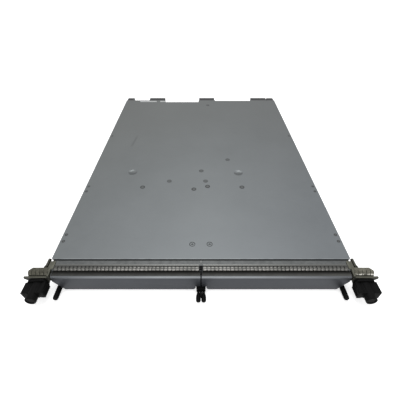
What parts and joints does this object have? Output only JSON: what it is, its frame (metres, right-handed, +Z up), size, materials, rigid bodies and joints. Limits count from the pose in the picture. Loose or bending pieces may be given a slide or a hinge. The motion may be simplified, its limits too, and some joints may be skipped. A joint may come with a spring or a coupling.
{
  "type": "interface module",
  "caption": "Flat plug-in network chassis module with a sheet cover, bay filler panels, spring-finger gaskets and winged jackscrews at both ends of its faceplate.",
  "frame": {"origin": "under the middle of the module's box, on the surface that it lies on", "axes": "+X to the right seen from the faceplate, +Y to the rear connectors, +Z up through the cover"},
  "size_m": [0.424, 0.565, 0.0315],
  "materials": {
    "cover_sheet": "dull zinc-plated sheet",
    "frame_sheet": "dull zinc-plated sheet",
    "filler_sheet": "dull plated sheet",
    "rail_aluminium": "clear chromated extrusion",
    "spring_strip": "bright spring strip",
    "bracket_casting": "olive passivated zinc casting",
    "bush_brass": "turned",
    "spindle_steel": "bright zinc-plated",
    "knob_plastic": "fine-grained moulding",
    "captive_black": "black oxide",
    "guide_plastic": "moulded",
    "connector_plastic": "moulded",
    "converter_plastic": "potted block",
    "board_laminate": "solder-masked laminate",
    "chip_plastic": "moulded",
    "sink_aluminium": "plain extruded",
    "fastener_steel": "zinc-plated"
  },
  "bodies": {
    "module": {"cover_panel": "cover_sheet", "faceplate_frame": "frame_sheet", "bay_divider": "rail_aluminium", "rear_stiffener": "rail_aluminium", "main_board": "board_laminate", "board_standoffs": "fastener_steel", "cover_screws": "fastener_steel", "captive_nuts": "fastener_steel", "processor_packages": "chip_plastic", "memory_chips": "chip_plastic", "side_rail_left": "rail_aluminium", "bay_filler_left": "filler_sheet", "gasket_strip_left": "spring_strip", "bracket_gasket_left": "spring_strip", "end_bracket_left": "bracket_casting", "jackscrew_bush_left": "bush_brass", "bay_guide_inner_left": "guide_plastic", "bay_guide_outer_left": "guide_plastic", "bay_socket_left": "guide_plastic", "guide_block_left": "connector_plastic", "power_brick_left": "converter_plastic", "side_rail_right": "rail_aluminium", "bay_filler_right": "filler_sheet", "gasket_strip_right": "spring_strip", "bracket_gasket_right": "spring_strip", "end_bracket_right": "bracket_casting", "jackscrew_bush_right": "bush_brass", "bay_guide_inner_right": "guide_plastic", "bay_guide_outer_right": "guide_plastic", "bay_socket_right": "guide_plastic", "guide_block_right": "connector_plastic", "power_brick_right": "converter_plastic", "heat_sink_front_left": "sink_aluminium", "heat_sink_front_right": "sink_aluminium", "heat_sink_rear_left": "sink_aluminium", "heat_sink_rear_right": "sink_aluminium", "backplane_connector_left": "connector_plastic", "backplane_connector_middle": "connector_plastic", "backplane_connector_right": "connector_plastic"},
    "jackscrew_left": {"jackscrew_knob_left": "knob_plastic", "jackscrew_spindle_left": "spindle_steel", "jackscrew_clip_left": "spindle_steel"},
    "captive_screw_inner_left": {"captive_knob_inner_left": "captive_black", "captive_stud_inner_left": "spindle_steel"},
    "captive_screw_outer_left": {"captive_knob_outer_left": "captive_black", "captive_stud_outer_left": "spindle_steel"},
    "jackscrew_right": {"jackscrew_knob_right": "knob_plastic", "jackscrew_spindle_right": "spindle_steel", "jackscrew_clip_right": "spindle_steel"},
    "captive_screw_inner_right": {"captive_knob_inner_right": "captive_black", "captive_stud_inner_right": "spindle_steel"},
    "captive_screw_outer_right": {"captive_knob_outer_right": "captive_black", "captive_stud_outer_right": "spindle_steel"}
  },
  "joints": [
    {"name": "jackscrew_left_turn", "type": "hinge", "parent": "module", "child": "jackscrew_left", "pos_m": [-0.1965, -0.2575, 0.0165], "axis": [0, 1, 0], "continuous": true},
    {"name": "captive_screw_inner_left_turn", "type": "hinge", "parent": "module", "child": "captive_screw_inner_left", "pos_m": [-0.00325, -0.2515, 0.0044], "axis": [0, 1, 0], "continuous": true},
    {"name": "captive_screw_outer_left_turn", "type": "hinge", "parent": "module", "child": "captive_screw_outer_left", "pos_m": [-0.1755, -0.2515, 0.0044], "axis": [0, 1, 0], "continuous": true},
    {"name": "jackscrew_right_turn", "type": "hinge", "parent": "module", "child": "jackscrew_right", "pos_m": [0.1965, -0.2575, 0.0165], "axis": [0, 1, 0], "continuous": true},
    {"name": "captive_screw_inner_right_turn", "type": "hinge", "parent": "module", "child": "captive_screw_inner_right", "pos_m": [0.00325, -0.2515, 0.0044], "axis": [0, 1, 0], "continuous": true},
    {"name": "captive_screw_outer_right_turn", "type": "hinge", "parent": "module", "child": "captive_screw_outer_right", "pos_m": [0.1755, -0.2515, 0.0044], "axis": [0, 1, 0], "continuous": true}
  ]
}
